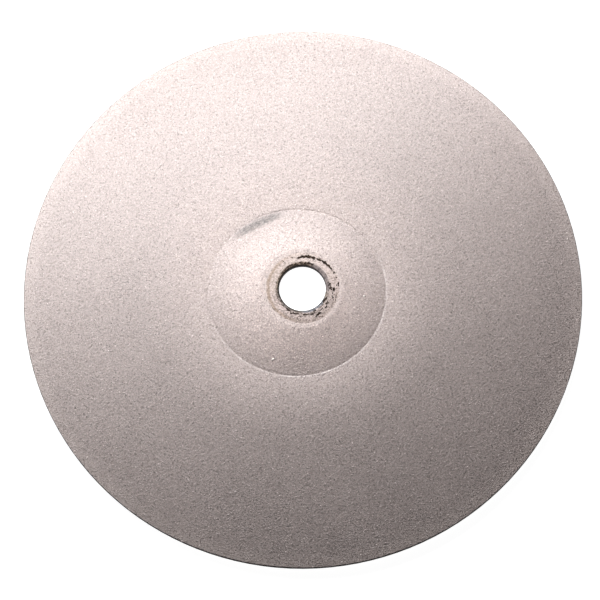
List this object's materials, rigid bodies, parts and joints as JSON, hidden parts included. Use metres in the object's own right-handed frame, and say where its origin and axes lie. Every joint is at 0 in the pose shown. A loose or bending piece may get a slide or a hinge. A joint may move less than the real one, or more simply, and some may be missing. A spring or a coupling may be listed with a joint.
{
  "type": "diamond grinding wheel",
  "caption": "Thin round plated grinding wheel with a raised hub pressed into its sheet-steel core, a plain arbor hole and a gritty coated face.",
  "frame": {"origin": "on the arbor hole's axis, in the plane of the hub seat's back face", "axes": "+Z along the arbor hole's axis, towards the coated face; +X and +Y in the wheel's plane, with the press mark off centre towards -X"},
  "size_m": [0.1524, 0.1524, 0.0045],
  "materials": {
    "core_steel": "satin",
    "nickel_bond": "matte",
    "diamond_grit": "matte",
    "rim_nickel": "satin",
    "back_nickel": "satin"
  },
  "bodies": {
    "root": {"steel_core": "core_steel", "nickel_bond": "nickel_bond", "diamond_grit": "diamond_grit", "rim_plating": "rim_nickel", "back_plating": "back_nickel"}
  },
  "joints": []
}
